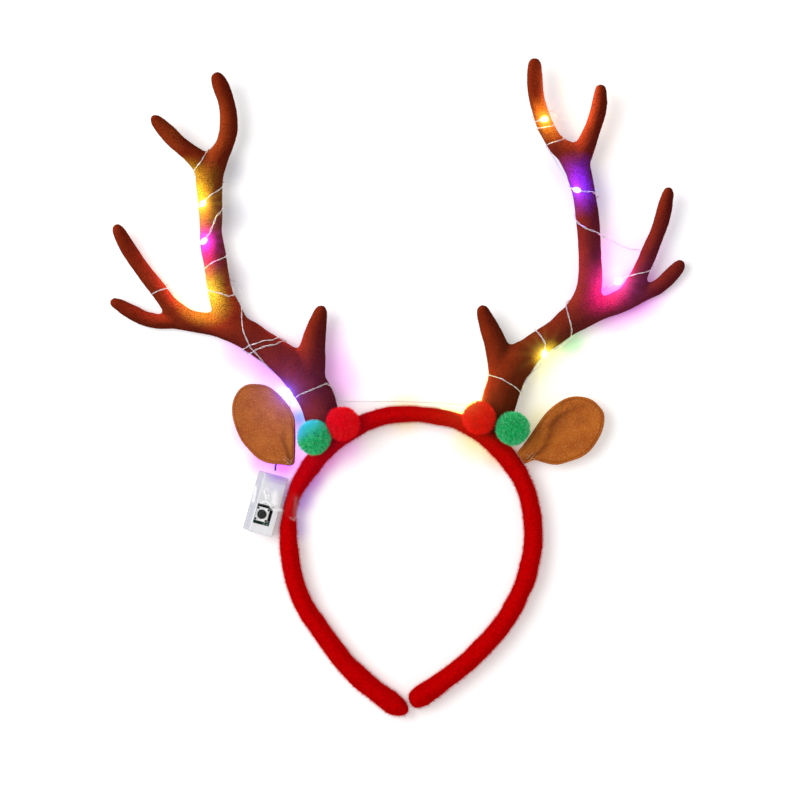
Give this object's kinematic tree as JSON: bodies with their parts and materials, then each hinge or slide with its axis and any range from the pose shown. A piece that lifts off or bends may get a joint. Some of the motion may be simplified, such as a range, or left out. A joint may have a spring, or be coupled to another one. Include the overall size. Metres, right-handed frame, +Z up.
{
  "type": "reindeer antler headband",
  "caption": "Plush costume headband with flocked reindeer antlers, felt ears, pompoms and a wound light string, lying on its back.",
  "frame": {"origin": "middle of the underside of the whole object, as it lies on its back", "axes": "+X to the right as pictured, +Y from the band's two ends towards the antler tips, +Z up out of the front of the band"},
  "size_m": [0.2716, 0.3086, 0.0299],
  "materials": {
    "plush_red": "matte plush",
    "velvet_brown": "flocked velvet",
    "felt_tan": "matte felt",
    "pompom_green": "fluffy yarn",
    "pompom_red": "fluffy yarn",
    "silver_wire": "bright",
    "clear_plastic": "clear gloss",
    "cell_steel": "satin",
    "board_green": "solder mask",
    "switch_plate": "satin",
    "button_black": "matte",
    "clear_tape": "clear gloss"
  },
  "bodies": {
    "headband": {"band": "plush_red", "antler_left": "velvet_brown", "antler_right": "velvet_brown", "ear_left": "felt_tan", "ear_right": "felt_tan", "pompom_left_green": "pompom_green", "pompom_left_red": "pompom_red", "pompom_right_red": "pompom_red", "pompom_right_green": "pompom_green", "light_wire": "silver_wire", "battery_case": "clear_plastic", "cell_1": "cell_steel", "cell_2": "cell_steel", "cell_3": "cell_steel", "circuit_board": "board_green", "switch_body": "switch_plate", "tape_wrap": "clear_tape"},
    "push_button": {"switch_button": "button_black"}
  },
  "joints": [
    {"name": "button_press", "type": "slide", "parent": "headband", "child": "push_button", "axis": [-0.3245, 0.0912, -0.9415], "range_m": [0, 0.00025], "stiffness_N_per_m": 2, "springref_m": -0.002}
  ]
}
